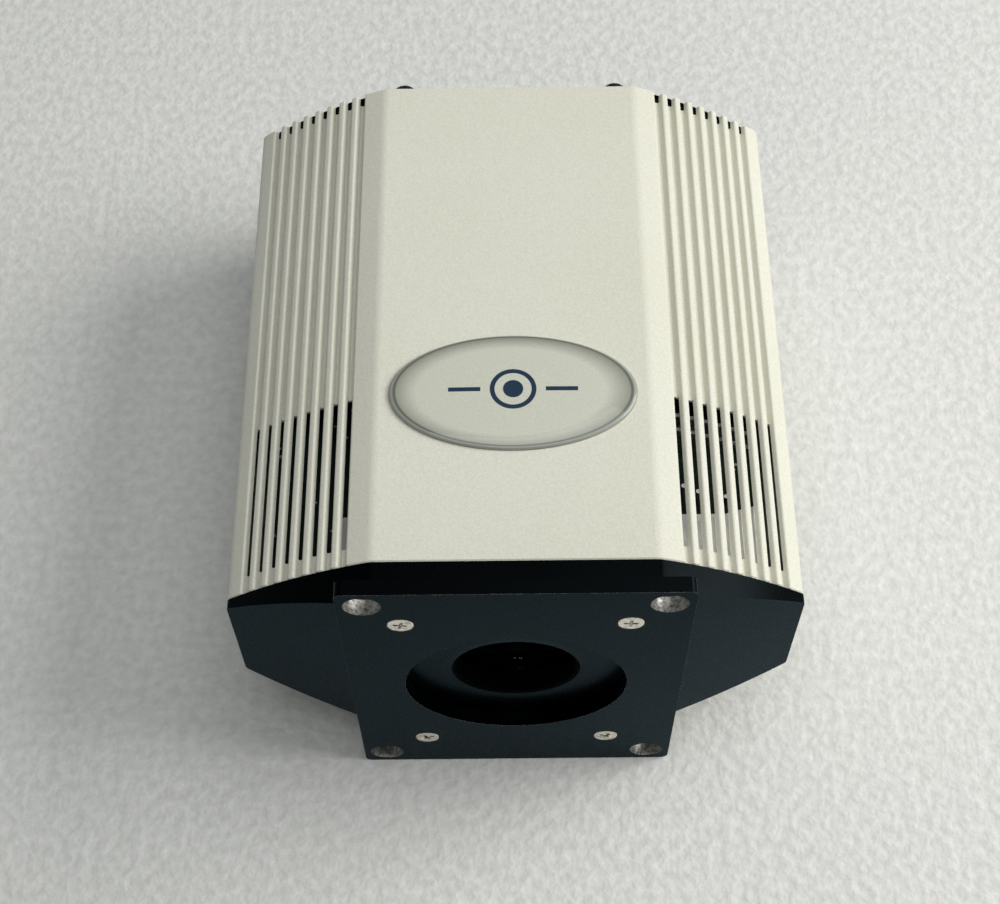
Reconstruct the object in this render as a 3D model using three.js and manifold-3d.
// A cooled astronomy camera: a grooved, vented body sleeve clamped between a front housing, which
// holds the sensor chamber and a bolted-on adapter plate, and a rear panel with fan exhaust and
// sockets.
//
// Millimetres. Every piece is drawn in the optical frame: X to the right, Y backwards along the
// optical axis, Z up, with the origin at the middle of the adapter plate's front face. The whole
// assembly is then shifted so that the origin is at the bottom centre of its bounding box.

import * as THREE from 'three';
import { mergeVertices } from 'three/addons/utils/BufferGeometryUtils.js';
import Module from 'manifold-3d';

const wasm = await Module();
wasm.setup();

// ---------------------------------------------------------------- driving dimensions

const GAP = 0.3; // clearance kept between pieces that touch
const REACH = 1; // how far a cutting tool runs past the face it cuts

// adapter plate
const PLATE_WIDTH = 66.7;
const PLATE_HEIGHT = 83.7;
const PLATE_THICKNESS = 3.2;
const PLATE_CORNER = 1.5;
const PLATE_OPENING_R = 22.3;
const CORNER_HOLE = { x: 28.4, z: 36.95, r: 3.55 };
const PLATE_SCREWS = [[-21.7, 28.7], [21.7, 28.7], [-19.2, -28.7], [19.2, -28.7]];

// body cross-section: a top and bottom flat, two upright sides and four gently curved facets
const BODY_HALF_WIDTH = 57.2;
const BODY_HALF_HEIGHT = 30.6;
const FLAT_HALF_WIDTH = 27.7;
const SIDE_HALF_HEIGHT = 14.6;
const FACET_BULGE = 1.4;
const FACET_STEPS = 8;

// body sleeve
const SLEEVE_FRONT = 12.6;
const SLEEVE_REAR = 131.2;
const SLEEVE_WALL = 2;
const GROOVE_COUNT = 8;
const GROOVE_WIDTH = 1.9;
const GROOVE_FOOT_WIDTH = 0.9;
const GROOVE_DEPTH = 1.5;
const FIRST_GROOVE = THREE.MathUtils.degToRad(22.4);
const GROOVE_STEP = THREE.MathUtils.degToRad(1.85);
const THINNED_WALL = 1.1; // where the sleeve is milled from inside, its grooves open up
const VENT_FRONT = 17;
const VENT_REAR = 51;
const REAR_SEAT_DEPTH = 2;

// front housing
const HOUSING_FRONT = PLATE_THICKNESS + GAP;
const HOUSING_CORNER_Y = 10.6; // where the swept front facets meet the sides
const HOUSING_REAR = SLEEVE_FRONT - GAP;
const SPIGOT_REAR = 16;

// lens mount and sensor chamber
const LENS_BORE_R = 12.7; // one-inch lens thread
const LENS_RING_R = 15.5;
const LENS_RING_DEPTH = 5;
const FLANGE_FOCAL_DISTANCE = 17.53;
const CHAMBER_FRONT = 10.1;
const CHAMBER_REAR = 34;
const CHAMBER_R = 22.7;
const CHAMBER_BORE_R = 19;
const CHAMBER_FLANGE_R = 28;
const CHAMBER_SCREW_CIRCLE_R = 25.35;
const SENSOR_DIE = { halfWidth: 4.9, halfHeight: 3.7 };
const SENSOR_GLASS = { halfWidth: 9.3, halfHeight: 7.6, thickness: 0.7 };
const SENSOR_BOARD = { front: 25.4, slotHalfWidth: 8, slotHalfHeight: 6 };

// cooling
const COOLER_HALF = 11.5;
const SINK_FRONT = CHAMBER_REAR + GAP;
const SINK_BASE = 4;
const FIN_REAR = 58.5;
const FIN_HALF_WIDTH = 21;
const FIN_THICKNESS = 1.4;
const FAN_SIZE = 40;
const FAN_HOLE_SPACING = 32;
const FAN_FRONT = 60;
const FAN_DEPTH = 10;
const FAN_BORE_R = 18.8;
const FAN_BLADES = 7;

// electronics
const BOARD_LEVEL = 14;
const BOARD_THICKNESS = 1.6;
const BOARD_HALF_WIDTH = 50;
const BOARD_FRONT = 19;
const BOARD_REAR = 117;
const BOARD_CUTOUT = { halfWidth: 29, rear: 80 };
const POST_R = 2.75;
const POSTS = [[-45, 36], [45, 36], [-45, 110], [45, 110]];
const BRACKET = { sheet: 1.5, rear: 29.2, bottom: 3 };
const SHELF = { near: 31.5, far: 49, nearRear: 21, farRear: 31, depth: 2.5, sheet: 1.2 };

// rods that tie the rear panel to the front housing
const ROD_X = 23.7;
const ROD_Z = 25.6;
const ROD_R = 2.6;
const ROD_TAP_DEPTH = 9;

// rear panel and its fittings
const PANEL_THICKNESS = 1.7;
const PANEL_FRONT = SLEEVE_REAR - PANEL_THICKNESS;
const FITTING_FACE = SLEEVE_REAR + GAP;
const FITTING_FRONT = 122; // how far the sockets reach into the body
const DATA_SOCKET = { x: -42, z: 0 };
const TRIGGER_SOCKET = { x: -27, z: -11 };
const POWER_SOCKET = { x: 31, z: 12 };
const STATUS_LAMP = { x: 44, z: 12 };
const SWITCH = { x: 36, z: -11, pivotY: 129.3, restTilt: THREE.MathUtils.degToRad(9) };
const TOTAL_LENGTH = 142.5; // from the adapter plate to the end of the trigger socket

// other outside pieces
const BADGE = { y: 50.2, halfWidth: 25.1, halfLength: 13.5, thickness: 1.3 };
const TRIPOD = { y: 84, barrelR: 5, boreR: 3.2, length: 8.2, cap: 1, flangeR: 8, flangeThickness: 2 };

// sides of a round piece
const COARSE = 8;
const MEDIUM = 16;
const CHAMBER_SIDES = 24;
const FINE = 32;

// ---------------------------------------------------------------- materials

function finish(color, roughness, metalness) {
  return new THREE.MeshStandardMaterial({ color, roughness, metalness });
}

const CREAM_COAT = finish(0xdedcd0, 0.55, 0);
const BLACK_ANODISED = finish(0x14161a, 0.5, 0.6);
const BARE_ALUMINIUM = finish(0xb9bcbf, 0.35, 1);
const NICKEL = finish(0xc9c6bd, 0.3, 1);
const BLACK_STEEL = finish(0x1a1a1b, 0.4, 0.8);
const BLACK_PLASTIC = finish(0x17181a, 0.5, 0);
const BOARD_GREEN = finish(0x1d4a2c, 0.5, 0);
const BLACK_RUBBER = finish(0x101010, 0.8, 0);
const GLASS = finish(0xcfdcd8, 0.05, 0);
const CERAMIC = finish(0xe8e6df, 0.5, 0);
const SILICON = finish(0x3b3f55, 0.15, 0.5);
const BADGE_SILVER = finish(0xc4c7c4, 0.25, 0.3);
const LAMP_GREEN = finish(0x3f9b52, 0.2, 0);

// ---------------------------------------------------------------- solids

// A closed geometry as a manifold solid.
function solid(geometry) {
  const bare = new THREE.BufferGeometry();
  bare.setAttribute('position', geometry.getAttribute('position'));
  bare.setIndex(geometry.getIndex());
  const merged = mergeVertices(bare);
  const triangles = [];
  const index = merged.getIndex().array;
  for (let i = 0; i < index.length; i += 3) {
    const [a, b, c] = [index[i], index[i + 1], index[i + 2]];
    if (a !== b && b !== c && c !== a) triangles.push(a, b, c);
  }
  const vertProperties = new Float32Array(merged.getAttribute('position').array);
  const mesh = new wasm.Mesh({ numProp: 3, vertProperties, triVerts: new Uint32Array(triangles) });
  return new wasm.Manifold(mesh);
}

function join(first, ...others) {
  return others.reduce((whole, other) => whole.add(other), first);
}

function cut(first, ...tools) {
  return tools.reduce((rest, tool) => rest.subtract(tool), first);
}

function outlineFrom(points) {
  return new THREE.Shape(points.map(([x, z]) => new THREE.Vector2(x, z)));
}

// An outline in X and Z, drawn out along Y from front to rear.
function alongY(points, front, rear) {
  const geometry = new THREE.ExtrudeGeometry(outlineFrom(points), {
    depth: rear - front,
    bevelEnabled: false,
  });
  geometry.rotateX(Math.PI / 2);
  geometry.translate(0, rear, 0);
  return solid(geometry);
}

// An outline in X and Y, drawn out along Z from bottom to top.
function alongZ(points, bottom, top) {
  const geometry = new THREE.ExtrudeGeometry(outlineFrom(points), {
    depth: top - bottom,
    bevelEnabled: false,
  });
  geometry.translate(0, 0, bottom);
  return solid(geometry);
}

// An outline in Z and Y, drawn out along X, evenly to both sides of x.
function alongX(points, x, width) {
  const geometry = new THREE.ExtrudeGeometry(outlineFrom(points.map(([z, y]) => [y, z])), {
    depth: width,
    bevelEnabled: false,
  });
  geometry.rotateY(Math.PI / 2);
  geometry.rotateX(Math.PI / 2);
  geometry.translate(x - width / 2, 0, 0);
  return solid(geometry);
}

function box([x0, x1], [y0, y1], [z0, z1]) {
  const geometry = new THREE.BoxGeometry(x1 - x0, y1 - y0, z1 - z0);
  geometry.translate((x0 + x1) / 2, (y0 + y1) / 2, (z0 + z1) / 2);
  return solid(geometry);
}

function cylinder(radius, front, rear, x = 0, z = 0, sides = COARSE) {
  const geometry = new THREE.CylinderGeometry(radius, radius, rear - front, sides);
  geometry.translate(x, (front + rear) / 2, z);
  return solid(geometry);
}

function cylinderAlongX(radius, length, x, y, z) {
  const geometry = new THREE.CylinderGeometry(radius, radius, length, COARSE);
  geometry.rotateZ(Math.PI / 2);
  geometry.translate(x, y, z);
  return solid(geometry);
}

function cylinderAlongZ(radius, bottom, top, x, y, sides = COARSE) {
  const geometry = new THREE.CylinderGeometry(radius, radius, top - bottom, sides);
  geometry.rotateX(Math.PI / 2);
  geometry.translate(x, y, (bottom + top) / 2);
  return solid(geometry);
}

// A profile of [radius, y] points, turned about the Y axis.
function turned(profile, x = 0, z = 0, sides = COARSE) {
  const points = profile.map(([radius, y]) => new THREE.Vector2(radius, y));
  const geometry = new THREE.LatheGeometry(points, sides);
  geometry.translate(x, 0, z);
  return solid(geometry);
}

function ring(outer, inner, front, rear, sides = FINE) {
  const profile = [[inner, front], [outer, front], [outer, rear], [inner, rear], [inner, front]];
  return turned(profile, 0, 0, sides);
}

function sealRing({ r, y }, thickness) {
  const geometry = new THREE.TorusGeometry(r, thickness / 2, 5, CHAMBER_SIDES);
  geometry.rotateX(Math.PI / 2);
  geometry.translate(0, y, 0);
  return solid(geometry);
}

function rectangle(halfWidth, halfHeight, x = 0, z = 0) {
  return [
    [x - halfWidth, z - halfHeight],
    [x + halfWidth, z - halfHeight],
    [x + halfWidth, z + halfHeight],
    [x - halfWidth, z + halfHeight],
  ];
}

// A rectangle whose corners are quarter circles.
function roundedRectangle(halfWidth, halfHeight, radius, x = 0, z = 0, steps = 3) {
  const points = [];
  const corners = [[1, 1, 0], [-1, 1, 1], [-1, -1, 2], [1, -1, 3]];
  for (const [sx, sz, quarter] of corners) {
    for (let i = 0; i <= steps; i += 1) {
      const angle = (quarter + i / steps) * (Math.PI / 2);
      points.push([
        x + sx * (halfWidth - radius) + radius * Math.cos(angle),
        z + sz * (halfHeight - radius) + radius * Math.sin(angle),
      ]);
    }
  }
  return points;
}

// ---------------------------------------------------------------- body cross-section

// Each curved facet is an arc of one circle; this is the circle of the upper right facet.
function facetCircle() {
  const chordX = BODY_HALF_WIDTH - FLAT_HALF_WIDTH;
  const chordZ = BODY_HALF_HEIGHT - SIDE_HALF_HEIGHT;
  const chord = Math.hypot(chordX, chordZ);
  const radius = (chord * chord / 4 + FACET_BULGE * FACET_BULGE) / (2 * FACET_BULGE);
  const inward = radius - FACET_BULGE;
  return {
    radius,
    x: (BODY_HALF_WIDTH + FLAT_HALF_WIDTH) / 2 - inward * chordZ / chord,
    z: (BODY_HALF_HEIGHT + SIDE_HALF_HEIGHT) / 2 - inward * chordX / chord,
  };
}

const FACET = facetCircle();

// A point of the upper right facet, at an angle from the vertical and a depth below its surface.
function facetPoint(angle, depth = 0) {
  const radius = FACET.radius - depth;
  return [FACET.x + radius * Math.sin(angle), FACET.z + radius * Math.cos(angle)];
}

// The angles at which the upper right facet, drawn in by inset, meets the side and the flat.
function facetEnds(inset) {
  const radius = FACET.radius - inset;
  return {
    side: Math.asin((BODY_HALF_WIDTH - inset - FACET.x) / radius),
    flat: Math.acos((BODY_HALF_HEIGHT - inset - FACET.z) / radius),
  };
}

// Both mirror images and the opposite of the upper right corner's points, as one closed outline.
function fourCorners(points) {
  const mirrored = (sx, sz) => points.map(([x, z]) => [sx * x, sz * z]);
  return [
    ...points,
    ...mirrored(-1, 1).reverse(),
    ...mirrored(-1, -1),
    ...mirrored(1, -1).reverse(),
  ];
}

function bodyOutline(inset = 0) {
  const ends = facetEnds(inset);
  const points = [];
  for (let i = 0; i <= FACET_STEPS; i += 1) {
    const angle = THREE.MathUtils.lerp(ends.side, ends.flat, i / FACET_STEPS);
    points.push(facetPoint(angle, inset));
  }
  return fourCorners(points);
}

function groovedOutline() {
  const ends = facetEnds(0);
  const mouth = Math.asin(GROOVE_WIDTH / 2 / FACET.radius);
  const floor = Math.asin(GROOVE_FOOT_WIDTH / 2 / (FACET.radius - GROOVE_DEPTH));
  const points = [facetPoint(ends.side)];
  for (let i = GROOVE_COUNT - 1; i >= 0; i -= 1) {
    const middle = FIRST_GROOVE + i * GROOVE_STEP;
    points.push(facetPoint(middle + mouth));
    points.push(facetPoint(middle + floor, GROOVE_DEPTH));
    points.push(facetPoint(middle - floor, GROOVE_DEPTH));
    points.push(facetPoint(middle - mouth));
  }
  points.push(facetPoint(ends.flat));
  return fourCorners(points);
}

// The patch of a facet that is milled away from inside, behind all its grooves.
function ventPocket(sx, sz, front, rear) {
  const margin = GROOVE_STEP * 0.6;
  const start = FIRST_GROOVE - margin;
  const end = FIRST_GROOVE + (GROOVE_COUNT - 1) * GROOVE_STEP + margin;
  const points = [];
  for (let i = 0; i <= FACET_STEPS; i += 1) {
    points.push(facetPoint(THREE.MathUtils.lerp(start, end, i / FACET_STEPS), THINNED_WALL));
  }
  points.push(facetPoint(end, SLEEVE_WALL + REACH));
  points.push(facetPoint(start, SLEEVE_WALL + REACH));
  return alongY(points.map(([x, z]) => [sx * x, sz * z]), front, rear);
}

// ---------------------------------------------------------------- the assembly

const camera = new THREE.Group();
camera.position.set(0, -TOTAL_LENGTH / 2, PLATE_HEIGHT / 2);

function add(name, manifold, material) {
  const { vertProperties, triVerts } = manifold.getMesh();
  const geometry = new THREE.BufferGeometry();
  geometry.setAttribute('position', new THREE.BufferAttribute(vertProperties, 3));
  geometry.setIndex(new THREE.BufferAttribute(triVerts, 1));
  geometry.computeVertexNormals();
  const mesh = new THREE.Mesh(geometry, material);
  mesh.name = name;
  camera.add(mesh);
}

// The four places that mirror one in the optical axis, right to left and top to bottom.
function mirroredPlaces(x, z) {
  return [[-x, z], [x, z], [-x, -z], [x, -z]];
}

const CHAMBER_SCREW_OFFSET = CHAMBER_SCREW_CIRCLE_R * Math.SQRT1_2;
const CHAMBER_SCREWS = mirroredPlaces(CHAMBER_SCREW_OFFSET, CHAMBER_SCREW_OFFSET);
const RODS = mirroredPlaces(ROD_X, ROD_Z);
const FAN_HOLES = mirroredPlaces(FAN_HOLE_SPACING / 2, FAN_HOLE_SPACING / 2);

const SCREW_R = 1.4;
const SCREW_HOLE_R = SCREW_R + GAP;
const CAP_HEAD_R = 2.6;
const CAP_HEAD_HEIGHT = 2.8;

// ---------------------------------------------------------------- adapter plate

const PLATE_SCREW = { headR: 2.55, shankR: 1.2, face: 0.1, neck: 1.5, tip: 9 };

function adapterPlate() {
  const blank = alongY(
    roundedRectangle(PLATE_WIDTH / 2, PLATE_HEIGHT / 2, PLATE_CORNER),
    0,
    PLATE_THICKNESS,
  );
  const opening = cylinder(PLATE_OPENING_R, -REACH, PLATE_THICKNESS + REACH, 0, 0, FINE);
  const cornerHoles = mirroredPlaces(CORNER_HOLE.x, CORNER_HOLE.z).map(([x, z]) => (
    cylinder(CORNER_HOLE.r, -REACH, PLATE_THICKNESS + REACH, x, z, MEDIUM)
  ));
  const mouthR = PLATE_SCREW.headR + GAP;
  const throatR = PLATE_SCREW.shankR + GAP;
  const countersink = [
    [0, -REACH], [mouthR, -REACH], [mouthR, PLATE_SCREW.face], [throatR, PLATE_SCREW.neck],
    [throatR, PLATE_THICKNESS + REACH], [0, PLATE_THICKNESS + REACH],
  ];
  const screwHoles = PLATE_SCREWS.map(([x, z]) => turned(countersink, x, z));
  return cut(blank, opening, ...cornerHoles, ...screwHoles);
}

function plateScrew(x, z) {
  const { headR, shankR, face, neck, tip } = PLATE_SCREW;
  return turned([[0, face], [headR, face], [shankR, neck], [shankR, tip], [0, tip]], x, z);
}

add('adapter_plate', adapterPlate(), BLACK_ANODISED);
PLATE_SCREWS.forEach(([x, z], i) => add(`adapter_screw_${i + 1}`, plateScrew(x, z), NICKEL));

// ---------------------------------------------------------------- front housing

const HOUSING_WEB = 8.8; // the rear of the lens ring's seat

function frontHousing() {
  // seen from above, the front is flat in the middle and swept back to both sides
  const sweep = (BODY_HALF_WIDTH - FLAT_HALF_WIDTH);
  const plan = [
    [-FLAT_HALF_WIDTH, HOUSING_FRONT],
    [FLAT_HALF_WIDTH, HOUSING_FRONT],
    [FLAT_HALF_WIDTH + sweep, HOUSING_CORNER_Y],
    [FLAT_HALF_WIDTH + sweep, HOUSING_REAR],
    [-FLAT_HALF_WIDTH - sweep, HOUSING_REAR],
    [-FLAT_HALF_WIDTH - sweep, HOUSING_CORNER_Y],
  ];
  const body = alongY(bodyOutline(), HOUSING_FRONT, HOUSING_REAR)
    .intersect(alongZ(plan, -BODY_HALF_HEIGHT - REACH, BODY_HALF_HEIGHT + REACH));
  const spigot = alongY(bodyOutline(SLEEVE_WALL + GAP), HOUSING_REAR - REACH, SPIGOT_REAR);
  const past = SPIGOT_REAR + REACH;
  const tools = [
    cylinder(LENS_RING_R + GAP, 0, HOUSING_WEB, 0, 0, FINE),
    cylinder(LENS_BORE_R + 2 * GAP, 0, past, 0, 0, FINE),
    cylinder(CHAMBER_R + GAP, CHAMBER_FRONT - GAP, past, 0, 0, FINE),
    cylinder(CHAMBER_FLANGE_R + 2 * GAP, HOUSING_REAR, past, 0, 0, FINE),
  ];
  for (const [x, z] of CHAMBER_SCREWS) {
    tools.push(cylinder(CAP_HEAD_R + GAP, 0, HOUSING_FRONT + CAP_HEAD_HEIGHT + 2 * GAP, x, z));
    tools.push(cylinder(SCREW_HOLE_R, 0, past, x, z));
  }
  for (const [x, z] of PLATE_SCREWS) {
    tools.push(cylinder(PLATE_SCREW.shankR + GAP, 0, PLATE_SCREW.tip + GAP, x, z));
  }
  for (const [x, z] of RODS) {
    tools.push(cylinder(SCREW_HOLE_R, HOUSING_CORNER_Y - REACH, past, x, z));
  }
  return cut(join(body, spigot), ...tools);
}

// A socket-cap screw whose shank runs backwards.
function capScrew(x, z, headFront, tip) {
  const neck = headFront + CAP_HEAD_HEIGHT;
  const profile = [
    [0, headFront], [CAP_HEAD_R, headFront], [CAP_HEAD_R, neck], [SCREW_R, neck],
    [SCREW_R, tip], [0, tip],
  ];
  return turned(profile, x, z);
}

function lensRing() {
  return ring(LENS_RING_R, LENS_BORE_R, HOUSING_FRONT, HOUSING_FRONT + LENS_RING_DEPTH);
}

add('front_housing', frontHousing(), BLACK_ANODISED);
add('lens_mount_ring', lensRing(), BLACK_ANODISED);
CHAMBER_SCREWS.forEach(([x, z], i) => {
  const head = HOUSING_FRONT + GAP;
  add(`chamber_screw_${i + 1}`, capScrew(x, z, head, SPIGOT_REAR - GAP), BLACK_STEEL);
});

// ---------------------------------------------------------------- sensor chamber

const WINDOW = { r: 14, front: 11.4, rear: 12.9 };
const RETAINER = { inner: 12.2, front: 10.3, rear: 11.1 };
const SEAL_CORD = 1;
const WINDOW_SEAL = { r: 12.9, y: 13.7 };
const CHAMBER_SEAL = { r: 20.8, y: 33.4 };
const APERTURE_R = 11.5;
const WINDOW_SEAT = 14.5;
const SEAT_WALL = 1.2;
const FRONT_FLANGE = { front: SLEEVE_FRONT, rear: SPIGOT_REAR };
const REAR_FLANGE_FRONT = 31;
const SEAL_GROOVE = { inner: 20, outer: 21.6, depth: 1.4 };

function chamberBody() {
  const profile = [
    [WINDOW.r + GAP, CHAMBER_FRONT],
    [CHAMBER_R, CHAMBER_FRONT],
    [CHAMBER_R, FRONT_FLANGE.front],
    [CHAMBER_FLANGE_R, FRONT_FLANGE.front],
    [CHAMBER_FLANGE_R, FRONT_FLANGE.rear],
    [CHAMBER_R, FRONT_FLANGE.rear],
    [CHAMBER_R, REAR_FLANGE_FRONT],
    [CHAMBER_FLANGE_R, REAR_FLANGE_FRONT],
    [CHAMBER_FLANGE_R, CHAMBER_REAR],
    [SEAL_GROOVE.outer, CHAMBER_REAR],
    [SEAL_GROOVE.outer, CHAMBER_REAR - SEAL_GROOVE.depth],
    [SEAL_GROOVE.inner, CHAMBER_REAR - SEAL_GROOVE.depth],
    [SEAL_GROOVE.inner, CHAMBER_REAR],
    [CHAMBER_BORE_R, CHAMBER_REAR],
    [CHAMBER_BORE_R, WINDOW_SEAT + SEAT_WALL],
    [APERTURE_R, WINDOW_SEAT + SEAT_WALL],
    [APERTURE_R, WINDOW_SEAT],
    [WINDOW.r + GAP, WINDOW_SEAT],
    [WINDOW.r + GAP, CHAMBER_FRONT],
  ];
  const holes = CHAMBER_SCREWS.map(([x, z]) => (
    cylinder(SCREW_HOLE_R, FRONT_FLANGE.front - REACH, CHAMBER_REAR + REACH, x, z)
  ));
  return cut(turned(profile, 0, 0, CHAMBER_SIDES), ...holes);
}

const SENSOR_FACE = HOUSING_FRONT + FLANGE_FOCAL_DISTANCE;
const PACKAGE = { halfWidth: 10.5, halfHeight: 9, front: 20.2, rear: 23.4, floor: 21.9 };

function sensorPackage() {
  const { halfWidth, halfHeight, front, rear, floor } = PACKAGE;
  const rim = 2;
  const well = rectangle(halfWidth - rim, halfHeight - rim);
  return cut(
    alongY(rectangle(halfWidth, halfHeight), front, rear),
    alongY(well, front - REACH, floor),
  );
}

function sensorDie() {
  const { halfWidth, halfHeight } = SENSOR_DIE;
  return alongY(rectangle(halfWidth, halfHeight), SENSOR_FACE, PACKAGE.floor - GAP);
}

function sensorGlass() {
  const { halfWidth, halfHeight, thickness } = SENSOR_GLASS;
  const rear = PACKAGE.front - GAP;
  return alongY(rectangle(halfWidth, halfHeight), rear - thickness, rear);
}

// A round board with a window in its middle for the cold finger.
function sensorBoard() {
  const { front, slotHalfWidth, slotHalfHeight } = SENSOR_BOARD;
  const rear = front + BOARD_THICKNESS;
  return cut(
    cylinder(CHAMBER_BORE_R - 1, front, rear, 0, 0, MEDIUM),
    alongY(rectangle(slotHalfWidth, slotHalfHeight), front - REACH, rear + REACH),
  );
}

function windowRetainer() {
  return ring(WINDOW.r, RETAINER.inner, RETAINER.front, RETAINER.rear, CHAMBER_SIDES);
}

function chamberWindow() {
  return cylinder(WINDOW.r, WINDOW.front, WINDOW.rear, 0, 0, CHAMBER_SIDES);
}

add('window_retainer', windowRetainer(), BLACK_ANODISED);
add('chamber_window', chamberWindow(), GLASS);
add('window_seal', sealRing(WINDOW_SEAL, SEAL_CORD), BLACK_RUBBER);
add('chamber_body', chamberBody(), BLACK_ANODISED);
add('chamber_seal', sealRing(CHAMBER_SEAL, SEAL_CORD), BLACK_RUBBER);
add('sensor_glass', sensorGlass(), GLASS);
add('sensor_package', sensorPackage(), CERAMIC);
add('sensor_die', sensorDie(), SILICON);
add('sensor_board', sensorBoard(), BOARD_GREEN);

// ---------------------------------------------------------------- cooling

const COLD_PAD = { halfWidth: 7, halfHeight: 5, shoulder: 28.5 };
const COOLER_FRONT = 30.3;
const COOLER_REAR = CHAMBER_REAR - 0.1;
const COOLER_PLATE = 0.8;
const PELLETS_PER_SIDE = 4;
const FAN_SCREW = { r: 1.25, headR: 2.4, headHeight: 1.8 };
const FAN_HUB = { r: 10, front: 67.3 };
const FAN_STRUT = { halfWidth: 1.2, front: 68 };
const FAN_BEARING = { r: 1.5, cap: 0.6 };
const ROTOR_HUB = { r: 9.5, front: 60.4, rear: 67 };
const ROTOR_SHAFT = { r: 1.2, rear: 69 };
const ROTOR_BLADE = { inner: 9, outer: 18, chord: 7.5, thickness: 0.9, pitch: 0.65, y: 63.7 };

function coldFinger() {
  const { halfWidth, halfHeight, shoulder } = COLD_PAD;
  const overlap = 0.5;
  return join(
    alongY(rectangle(halfWidth, halfHeight), PACKAGE.rear + GAP, shoulder + overlap),
    alongY(rectangle(COOLER_HALF, COOLER_HALF), shoulder, COOLER_FRONT - GAP),
  );
}

// Two ceramic plates with a grid of semiconductor pellets between them.
function thermoelectricCooler() {
  const plate = rectangle(COOLER_HALF, COOLER_HALF);
  const parts = [
    alongY(plate, COOLER_FRONT, COOLER_FRONT + COOLER_PLATE),
    alongY(plate, COOLER_REAR - COOLER_PLATE, COOLER_REAR),
  ];
  const pitch = 2 * COOLER_HALF / PELLETS_PER_SIDE;
  const overlap = 0.2;
  const front = COOLER_FRONT + COOLER_PLATE - overlap;
  const rear = COOLER_REAR - COOLER_PLATE + overlap;
  for (let row = 0; row < PELLETS_PER_SIDE; row += 1) {
    for (let column = 0; column < PELLETS_PER_SIDE; column += 1) {
      const x = (column + 0.5) * pitch - COOLER_HALF;
      const z = (row + 0.5) * pitch - COOLER_HALF;
      parts.push(alongY(rectangle(pitch / 4, pitch / 4, x, z), front, rear));
    }
  }
  return join(...parts);
}

// A round base with level fins; the fan's screws pass through the gaps between fins.
function heatSink() {
  const baseRear = SINK_FRONT + SINK_BASE;
  const parts = [cylinder(CHAMBER_FLANGE_R, SINK_FRONT, baseRear, 0, 0, CHAMBER_SIDES)];
  const pitch = FAN_HOLE_SPACING / 7;
  const overlap = 0.5;
  for (let i = -4; i <= 4; i += 1) {
    const fin = rectangle(FIN_HALF_WIDTH, FIN_THICKNESS / 2, 0, i * pitch);
    parts.push(alongY(fin, baseRear - overlap, FIN_REAR));
  }
  const tools = [];
  for (const [x, z] of CHAMBER_SCREWS) {
    tools.push(cylinder(SCREW_HOLE_R, SINK_FRONT - REACH, baseRear - 0.5, x, z));
  }
  for (const [x, z] of FAN_HOLES) {
    tools.push(cylinder(FAN_SCREW.r + GAP, baseRear - 2, baseRear + REACH, x, z));
  }
  return cut(join(...parts), ...tools);
}

function fanFrame() {
  const rear = FAN_FRONT + FAN_DEPTH;
  const blank = alongY(roundedRectangle(FAN_SIZE / 2, FAN_SIZE / 2, 3), FAN_FRONT, rear);
  const bore = cylinder(FAN_BORE_R, FAN_FRONT - REACH, rear + REACH, 0, 0, FINE);
  const holes = FAN_HOLES.map(([x, z]) => (
    cylinder(FAN_SCREW.r + GAP, FAN_FRONT - REACH, rear + REACH, x, z)
  ));
  const shell = cut(blank, bore, ...holes);
  const across = [-FAN_STRUT.halfWidth, FAN_STRUT.halfWidth];
  const along = [-FAN_BORE_R - REACH, FAN_BORE_R + REACH];
  const spider = [
    cylinder(FAN_HUB.r, FAN_HUB.front, rear, 0, 0, MEDIUM),
    box(across, [FAN_STRUT.front, rear], along),
    box(along, [FAN_STRUT.front, rear], across),
  ];
  return cut(join(shell, ...spider), cylinder(FAN_BEARING.r, 0, rear - FAN_BEARING.cap));
}

function fanRotor() {
  const hub = ROTOR_HUB;
  const blade = ROTOR_BLADE;
  const shaft = cylinder(ROTOR_SHAFT.r, hub.front + REACH, ROTOR_SHAFT.rear);
  const blades = [];
  for (let i = 0; i < FAN_BLADES; i += 1) {
    const geometry = new THREE.BoxGeometry(blade.outer - blade.inner, blade.thickness, blade.chord);
    geometry.rotateX(blade.pitch);
    geometry.translate((blade.inner + blade.outer) / 2, blade.y, 0);
    geometry.rotateY(i * 2 * Math.PI / FAN_BLADES);
    blades.push(solid(geometry));
  }
  const swept = cylinder(blade.outer, hub.front, hub.rear, 0, 0, FINE);
  const bladeSet = join(...blades).intersect(swept);
  return join(cylinder(hub.r, hub.front, hub.rear, 0, 0, MEDIUM), shaft, bladeSet);
}

function fanScrew(x, z) {
  const { r, headR, headHeight } = FAN_SCREW;
  const neck = FAN_FRONT + FAN_DEPTH + GAP;
  const tip = SINK_FRONT + SINK_BASE - 1.5;
  const headRear = neck + headHeight;
  const profile = [
    [0, tip], [r, tip], [r, neck], [headR, neck], [headR, headRear], [0, headRear],
  ];
  return turned(profile, x, z);
}

add('cold_finger', coldFinger(), BARE_ALUMINIUM);
add('thermoelectric_cooler', thermoelectricCooler(), CERAMIC);
add('heat_sink', heatSink(), BARE_ALUMINIUM);
CHAMBER_SCREWS.forEach(([x, z], i) => {
  const headFront = REAR_FLANGE_FRONT - GAP - CAP_HEAD_HEIGHT;
  const tip = SINK_FRONT + SINK_BASE - 1;
  add(`heat_sink_screw_${i + 1}`, capScrew(x, z, headFront, tip), NICKEL);
});
add('fan_frame', fanFrame(), BLACK_PLASTIC);
add('fan_rotor', fanRotor(), BLACK_PLASTIC);
FAN_HOLES.forEach(([x, z], i) => add(`fan_screw_${i + 1}`, fanScrew(x, z), NICKEL));

// ---------------------------------------------------------------- electronics

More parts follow.
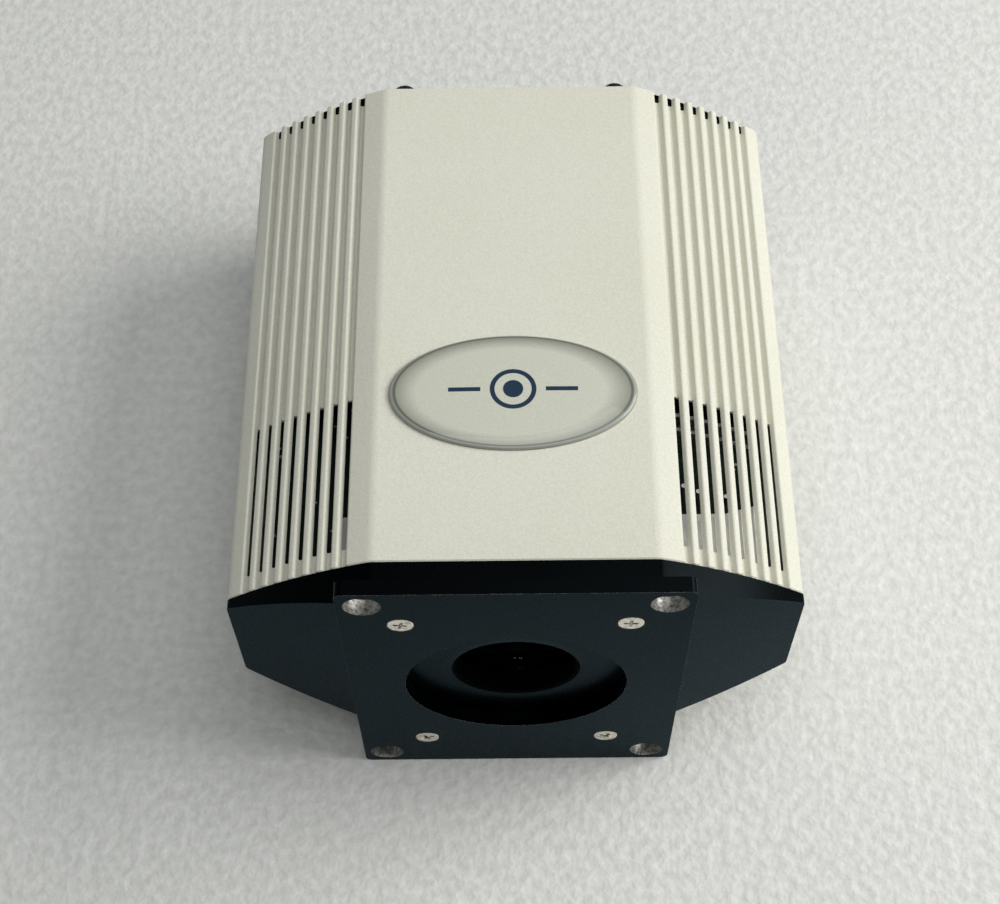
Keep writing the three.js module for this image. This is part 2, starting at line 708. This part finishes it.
// A board with a cut-out at the front that clears the chamber, the heat sink and the fan.
function board(bottom) {
  const { halfWidth, rear } = BOARD_CUTOUT;
  const outline = [
    [-BOARD_HALF_WIDTH, BOARD_FRONT], [-halfWidth, BOARD_FRONT], [-halfWidth, rear],
    [halfWidth, rear], [halfWidth, BOARD_FRONT], [BOARD_HALF_WIDTH, BOARD_FRONT],
    [BOARD_HALF_WIDTH, BOARD_REAR], [-BOARD_HALF_WIDTH, BOARD_REAR],
  ];
  return alongZ(outline, bottom, bottom + BOARD_THICKNESS);
}

function boardPost(x, y) {
  const half = BOARD_LEVEL - GAP;
  return cylinderAlongZ(POST_R, -half, half, x, y, 6);
}

// An angle that carries the main board on the rear of the front housing.
function boardBracket(near, far) {
  const { sheet, rear, bottom } = BRACKET;
  const front = SPIGOT_REAR + GAP;
  const underside = BOARD_LEVEL + BOARD_THICKNESS + GAP;
  return join(
    box([near, far], [front, front + sheet], [bottom, underside + sheet]),
    box([near, far], [front, rear], [underside, underside + sheet]),
  );
}

// The right bracket also rises to a shelf that follows the facet, just inside the sleeve's vents.
// The shelf's rear edge runs slantwise.
function shelvedBracket(near, far) {
  const { sheet, bottom } = BRACKET;
  const front = SPIGOT_REAR + GAP;
  const angleAt = (x) => Math.asin((x - FACET.x) / (FACET.radius - SHELF.depth));
  const arc = (depth, from, to) => {
    const points = [];
    for (let i = 0; i <= FACET_STEPS; i += 1) {
      points.push(facetPoint(THREE.MathUtils.lerp(from, to, i / FACET_STEPS), depth));
    }
    return points;
  };
  const start = angleAt(SHELF.near);
  const end = angleAt(SHELF.far);
  const low = SHELF.depth + SHELF.sheet;
  const band = [...arc(SHELF.depth, start, end), ...arc(low, end, start)];
  const waste = alongZ([
    [SHELF.near - REACH, SHELF.nearRear], [SHELF.near, SHELF.nearRear],
    [SHELF.far, SHELF.farRear], [SHELF.far + REACH, SHELF.farRear],
    [SHELF.far + REACH, SHELF.farRear + REACH], [SHELF.near - REACH, SHELF.farRear + REACH],
  ], 0, BODY_HALF_HEIGHT);
  const shelf = cut(alongY(band, front, SHELF.farRear), waste);
  const under = (low + SHELF.depth) / 2;
  const web = alongY(
    [[near, bottom], [far, bottom], ...arc(under, angleAt(far), angleAt(near))],
    front, front + sheet,
  );
  return join(boardBracket(near, far), web, shelf);
}

// A hexagonal rod with a stud at its front end and a tapped hole at its rear end.
function tieRod(x, z) {
  const front = SPIGOT_REAR + GAP;
  const rear = PANEL_FRONT - GAP;
  return cut(
    join(
      cylinder(ROD_R, front, rear, x, z, 6),
      cylinder(SCREW_R, HOUSING_CORNER_Y, front + REACH, x, z),
    ),
    cylinder(SCREW_HOLE_R, rear - ROD_TAP_DEPTH, rear + REACH, x, z),
  );
}

add('main_board', board(BOARD_LEVEL), BOARD_GREEN);
add('power_board', board(-BOARD_LEVEL - BOARD_THICKNESS), BOARD_GREEN);
POSTS.forEach(([x, y], i) => add(`board_post_${i + 1}`, boardPost(x, y), NICKEL));
add('board_bracket_right', shelvedBracket(32, 49), BARE_ALUMINIUM);
add('board_bracket_left', boardBracket(-36, -31), BARE_ALUMINIUM);
RODS.forEach(([x, z], i) => add(`tie_rod_${i + 1}`, tieRod(x, z), NICKEL));

// ---------------------------------------------------------------- body sleeve, badge, tripod socket

function bodySleeve() {
  const blank = alongY(groovedOutline(), SLEEVE_FRONT, SLEEVE_REAR);
  const tools = [
    alongY(bodyOutline(SLEEVE_WALL), SLEEVE_FRONT - REACH, SLEEVE_REAR + REACH),
    alongY(bodyOutline(THINNED_WALL), SLEEVE_REAR - REAR_SEAT_DEPTH, SLEEVE_REAR + REACH),
    cylinderAlongZ(TRIPOD.barrelR + GAP, -BODY_HALF_HEIGHT - REACH, 0, 0, TRIPOD.y, MEDIUM),
  ];
  for (const [sx, sz] of [[1, 1], [-1, 1], [-1, -1], [1, -1]]) {
    tools.push(ventPocket(sx, sz, VENT_FRONT, VENT_REAR));
  }
  return cut(blank, ...tools);
}

// An oval label whose top is domed.
function badge() {
  const bottom = BODY_HALF_HEIGHT + GAP;
  const profile = [[0, 0], [1, 0], [1, 0.45], [0.97, 0.7], [0.85, 0.9], [0.5, 1], [0, 1]];
  const points = profile.map(([radius, height]) => new THREE.Vector2(radius, height));
  const geometry = new THREE.LatheGeometry(points, 32);
  geometry.rotateX(Math.PI / 2);
  geometry.scale(BADGE.halfWidth, BADGE.halfLength, BADGE.thickness);
  geometry.translate(0, BADGE.y, bottom);
  return solid(geometry);
}

function tripodSocket() {
  const { y, barrelR, boreR, length, cap, flangeR, flangeThickness } = TRIPOD;
  const bottom = -BODY_HALF_HEIGHT + 0.1;
  const top = bottom + length;
  const flangeBottom = -BODY_HALF_HEIGHT + SLEEVE_WALL + GAP;
  return cut(
    join(
      cylinderAlongZ(barrelR, bottom, top, 0, y, MEDIUM),
      cylinderAlongZ(flangeR, flangeBottom, flangeBottom + flangeThickness, 0, y, MEDIUM),
    ),
    cylinderAlongZ(boreR, bottom - REACH, top - cap, 0, y, MEDIUM),
  );
}

add('body_sleeve', bodySleeve(), CREAM_COAT);
add('badge', badge(), BADGE_SILVER);
add('tripod_socket', tripodSocket(), NICKEL);

// ---------------------------------------------------------------- rear panel

const EXHAUST = { r: 18, slotWidth: 3, pitch: 5, slots: 7 };
const DATA_FLANGE = { halfWidth: 6.2, halfHeight: 15.4, thickness: 1.2 };
const DATA_SHELL = { halfWidth: 4.2, halfHeight: 8.45, slope: 0.7, rear: 137.5 };
const SWITCH_BODY = { halfWidth: 6.6, halfHeight: 9.6, front: 118 };
const SWITCH_BEZEL = { halfWidth: 7.6, halfHeight: 10.6, thickness: 1.8 };
const SWITCH_WELL = { halfWidth: 5.3, halfHeight: 8.3, front: 124.5 };
const JACK_POST = { r: 2.75, offset: 12.5 };
const POWER = { barrelR: 6.2, rear: FITTING_FACE + 5, wall: 1, wellDepth: 1.2, nutR: 8.4 };
const TRIGGER = { threadR: 5, barrelR: 4.8, wellR: 4, wellDepth: 8, insulatorR: 2.3, nutR: 7.2 };
const LUG = { r: 1, height: 1.1, setback: 5 };
const NUT_THICKNESS = 2;
const LAMP = { r: 1.6, flange: 0.6, flangeRear: 128.6, flangeDepth: 3 };
const PANEL_SCREW_LENGTH = 8;

// The exhaust openings: level slots with round ends, together filling a circle.
function exhaustSlots() {
  const slots = [];
  const half = EXHAUST.slotWidth / 2;
  for (let i = 0; i < EXHAUST.slots; i += 1) {
    const z = (i - (EXHAUST.slots - 1) / 2) * EXHAUST.pitch;
    const halfLength = Math.sqrt(EXHAUST.r * EXHAUST.r - z * z);
    const slot = roundedRectangle(halfLength, half, half * 0.99, 0, z, 2);
    slots.push(alongY(slot, PANEL_FRONT - REACH, SLEEVE_REAR + REACH));
  }
  return slots;
}

// The slanted-sided outline of a D-shaped connector, standing on end, grown by margin.
function dShape(margin) {
  const { halfWidth, halfHeight, slope } = DATA_SHELL;
  const { x, z } = DATA_SOCKET;
  return [
    [x - halfWidth - margin, z - halfHeight - margin + slope],
    [x + halfWidth + margin, z - halfHeight - margin - slope],
    [x + halfWidth + margin, z + halfHeight + margin + slope],
    [x - halfWidth - margin, z + halfHeight + margin - slope],
  ];
}

function rearPanel() {
  const front = PANEL_FRONT - REACH;
  const rear = SLEEVE_REAR + REACH;
  const switchHole = rectangle(
    SWITCH_BODY.halfWidth + GAP,
    SWITCH_BODY.halfHeight + GAP,
    SWITCH.x,
    SWITCH.z,
  );
  const tools = [
    ...exhaustSlots(),
    alongY(dShape(GAP), front, rear),
    cylinder(POWER.barrelR + GAP, front, rear, POWER_SOCKET.x, POWER_SOCKET.z, MEDIUM),
    cylinder(TRIGGER.threadR + GAP, front, rear, TRIGGER_SOCKET.x, TRIGGER_SOCKET.z, MEDIUM),
    cylinder(LAMP.r + GAP, front, rear, STATUS_LAMP.x, STATUS_LAMP.z),
    alongY(switchHole, front, rear),
  ];
  for (const [x, z] of RODS) tools.push(cylinder(SCREW_HOLE_R, front, rear, x, z));
  return cut(alongY(bodyOutline(THINNED_WALL + GAP), PANEL_FRONT, SLEEVE_REAR), ...tools);
}

// A socket-cap screw in the rear panel, its shank running forwards into a tie rod.
function panelScrew(x, z) {
  const tip = PANEL_FRONT - PANEL_SCREW_LENGTH;
  const headRear = FITTING_FACE + CAP_HEAD_HEIGHT;
  const chamfer = 0.3;
  const profile = [
    [0, tip], [SCREW_R, tip], [SCREW_R, FITTING_FACE], [CAP_HEAD_R, FITTING_FACE],
    [CAP_HEAD_R, headRear - chamfer], [CAP_HEAD_R - chamfer, headRear], [0, headRear],
  ];
  return turned(profile, x, z);
}

function dataSocket() {
  const { halfWidth, halfHeight, thickness } = DATA_FLANGE;
  const { x, z } = DATA_SOCKET;
  const flangeRear = FITTING_FACE + thickness;
  const postFront = FITTING_FACE + thickness / 2;
  const postRear = DATA_SHELL.rear - 0.5;
  return join(
    alongY(rectangle(halfWidth, halfHeight, x, z), FITTING_FACE, flangeRear),
    alongY(dShape(0), FITTING_FRONT, DATA_SHELL.rear),
    cylinder(JACK_POST.r, postFront, postRear, x, z + JACK_POST.offset, 6),
    cylinder(JACK_POST.r, postFront, postRear, x, z - JACK_POST.offset, 6),
  );
}

function powerSocket() {
  const { x, z } = POWER_SOCKET;
  const { barrelR, rear, wall, wellDepth, nutR } = POWER;
  return cut(
    join(
      cylinder(barrelR, FITTING_FRONT, rear, x, z, MEDIUM),
      cylinder(nutR, FITTING_FACE, FITTING_FACE + NUT_THICKNESS, x, z, 6),
    ),
    cylinder(barrelR - wall, rear - wellDepth, rear + REACH, x, z, MEDIUM),
  );
}

// A bayonet socket: a barrel with two lugs and an insulated centre contact.
function triggerSocket() {
  const { x, z } = TRIGGER_SOCKET;
  const { threadR, barrelR, wellR, wellDepth, insulatorR, nutR } = TRIGGER;
  const threadRear = FITTING_FACE + NUT_THICKNESS + REACH;
  const wellFront = TOTAL_LENGTH - wellDepth;
  const barrel = join(
    cylinder(threadR, FITTING_FRONT, threadRear, x, z, MEDIUM),
    cylinder(barrelR, threadRear - REACH, TOTAL_LENGTH, x, z, MEDIUM),
    cylinder(nutR, FITTING_FACE, FITTING_FACE + NUT_THICKNESS, x, z, 6),
    cylinderAlongX(LUG.r, 2 * (barrelR + LUG.height), x, TOTAL_LENGTH - LUG.setback, z),
  );
  const well = cut(
    cylinder(wellR, wellFront, TOTAL_LENGTH + REACH, x, z, MEDIUM),
    cylinder(insulatorR, wellFront - REACH, TOTAL_LENGTH - 2, x, z),
  );
  return cut(barrel, well);
}

function statusLamp() {
  const { x, z } = STATUS_LAMP;
  const { r, flange, flangeRear, flangeDepth } = LAMP;
  const flangeFront = flangeRear - flangeDepth;
  const base = FITTING_FACE + 0.1;
  const profile = [
    [0, flangeFront], [r + flange, flangeFront], [r + flange, flangeRear], [r, flangeRear], [r, base],
    [r * Math.cos(Math.PI / 6), base + r * Math.sin(Math.PI / 6)],
    [r * Math.cos(Math.PI / 3), base + r * Math.sin(Math.PI / 3)],
    [0, base + r],
  ];
  return turned(profile, x, z);
}

const TRUNNION = { r: 0.9, halfLength: 5.8 };

function switchHousing() {
  const { x, z, pivotY } = SWITCH;
  const bezelRear = FITTING_FACE + SWITCH_BEZEL.thickness;
  const bezel = rectangle(SWITCH_BEZEL.halfWidth, SWITCH_BEZEL.halfHeight, x, z);
  const body = rectangle(SWITCH_BODY.halfWidth, SWITCH_BODY.halfHeight, x, z);
  const well = rectangle(SWITCH_WELL.halfWidth, SWITCH_WELL.halfHeight, x, z);
  const bearing = cylinderAlongX(TRUNNION.r + GAP, 2 * (TRUNNION.halfLength + GAP), x, pivotY, z);
  return cut(
    join(
      alongY(body, SWITCH_BODY.front, FITTING_FACE + REACH),
      alongY(bezel, FITTING_FACE, bezelRear),
    ),
    alongY(well, SWITCH_WELL.front, bezelRear + REACH),
    bearing,
  );
}

// A rocker with a shallow valley across its face, tipped about its trunnions.
function switchRocker() {
  const { x, z, pivotY, restTilt } = SWITCH;
  const halfWidth = 5;
  const face = [[-7.3, 4], [0, 3], [7.3, 4]];
  const underside = [[6.6, -1.2], [3, -2.6], [-3, -2.6], [-6.6, -1.2]];
  const rocker = join(
    alongX([...face, ...underside], 0, 2 * halfWidth),
    cylinderAlongX(TRUNNION.r, 2 * TRUNNION.halfLength, 0, 0, 0),
  );
  return rocker
    .rotate([THREE.MathUtils.radToDeg(restTilt), 0, 0])
    .translate([x, pivotY, z]);
}

add('rear_panel', rearPanel(), BLACK_ANODISED);
RODS.forEach(([x, z], i) => add(`rear_screw_${i + 1}`, panelScrew(x, z), BLACK_STEEL));
add('data_socket', dataSocket(), NICKEL);
add('power_socket', powerSocket(), NICKEL);
add('trigger_socket', triggerSocket(), NICKEL);
add('status_lamp', statusLamp(), LAMP_GREEN);
add('switch_housing', switchHousing(), BLACK_PLASTIC);
add('switch_rocker', switchRocker(), BLACK_PLASTIC);

export default camera;
